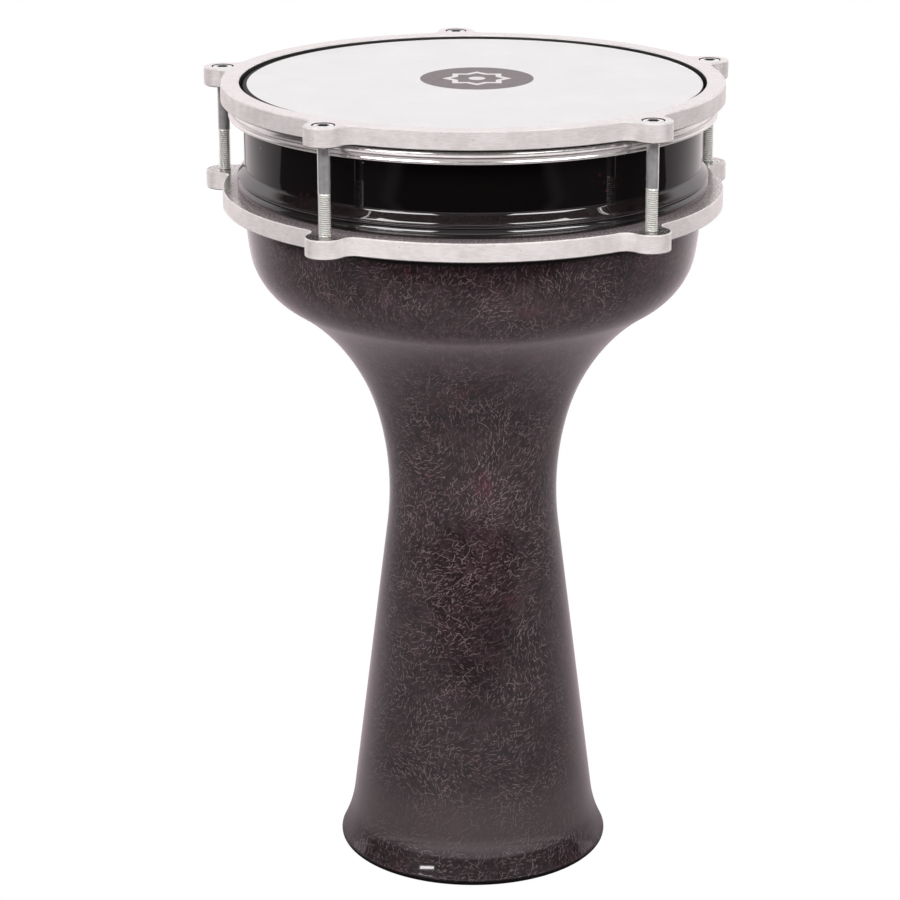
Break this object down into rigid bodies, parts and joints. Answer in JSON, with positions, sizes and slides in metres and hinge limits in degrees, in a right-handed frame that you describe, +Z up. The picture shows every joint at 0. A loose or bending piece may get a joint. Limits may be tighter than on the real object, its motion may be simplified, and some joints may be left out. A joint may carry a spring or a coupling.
{
  "type": "goblet drum",
  "caption": "Metal goblet drum: waisted shell with a flared foot and a crackle-painted bowl, and a plastic head pulled over its rim by bolts between two lugged rings.",
  "frame": {"origin": "centre of the foot's resting plane, on the drum's axis", "axes": "+Z up along the drum's axis towards the striking head; -Y is the front, midway between two of the lugs as seen from the front"},
  "size_m": [0.259, 0.2572, 0.3963],
  "materials": {
    "shell_paint": "gloss",
    "collar_paint": "gloss",
    "ring_alloy": "satin",
    "hoop_alloy": "polished",
    "bolt_steel": "polished",
    "head_film": "satin",
    "resin": "satin"
  },
  "bodies": {
    "shell": {"goblet_body": "shell_paint", "shell_collar": "collar_paint", "lower_ring": "ring_alloy", "drum_head": "head_film"},
    "tension_assembly": {"tension_ring": "ring_alloy", "head_hoop": "hoop_alloy", "hoop_resin": "resin"},
    "bolt_front_right": {"tension_bolt_front_right": "bolt_steel"},
    "bolt_right": {"tension_bolt_right": "bolt_steel"},
    "bolt_back": {"tension_bolt_back": "bolt_steel"},
    "bolt_left": {"tension_bolt_left": "bolt_steel"},
    "bolt_front_left": {"tension_bolt_front_left": "bolt_steel"}
  },
  "joints": [
    {"name": "head_tension", "type": "slide", "parent": "shell", "child": "tension_assembly", "axis": [0, 0, 1], "range_m": [-0.001, 0.002], "deforming": ["drum_head"]},
    {"name": "bolt_front_right_turn", "type": "hinge", "parent": "tension_assembly", "child": "bolt_front_right", "pos_m": [0.08144, -0.09706, 0.3902], "axis": [0, 0, 1], "range_deg": [-370, 730]},
    {"name": "bolt_right_turn", "type": "hinge", "parent": "tension_assembly", "child": "bolt_right", "pos_m": [0.11747, 0.04746, 0.3902], "axis": [0, 0, 1], "range_deg": [-370, 730]},
    {"name": "bolt_back_turn", "type": "hinge", "parent": "tension_assembly", "child": "bolt_back", "pos_m": [-0.00884, 0.12639, 0.3902], "axis": [0, 0, 1], "range_deg": [-370, 730]},
    {"name": "bolt_left_turn", "type": "hinge", "parent": "tension_assembly", "child": "bolt_left", "pos_m": [-0.12294, 0.03065, 0.3902], "axis": [0, 0, 1], "range_deg": [-370, 730]},
    {"name": "bolt_front_left_turn", "type": "hinge", "parent": "tension_assembly", "child": "bolt_front_left", "pos_m": [-0.06714, -0.10745, 0.3902], "axis": [0, 0, 1], "range_deg": [-370, 730]}
  ],
  "couplings": [
    {"joint": "bolt_front_right_turn", "follows": "head_tension", "rad_per_m": 6283.2},
    {"joint": "bolt_right_turn", "follows": "head_tension", "rad_per_m": 6283.2},
    {"joint": "bolt_back_turn", "follows": "head_tension", "rad_per_m": 6283.2},
    {"joint": "bolt_left_turn", "follows": "head_tension", "rad_per_m": 6283.2},
    {"joint": "bolt_front_left_turn", "follows": "head_tension", "rad_per_m": 6283.2}
  ]
}
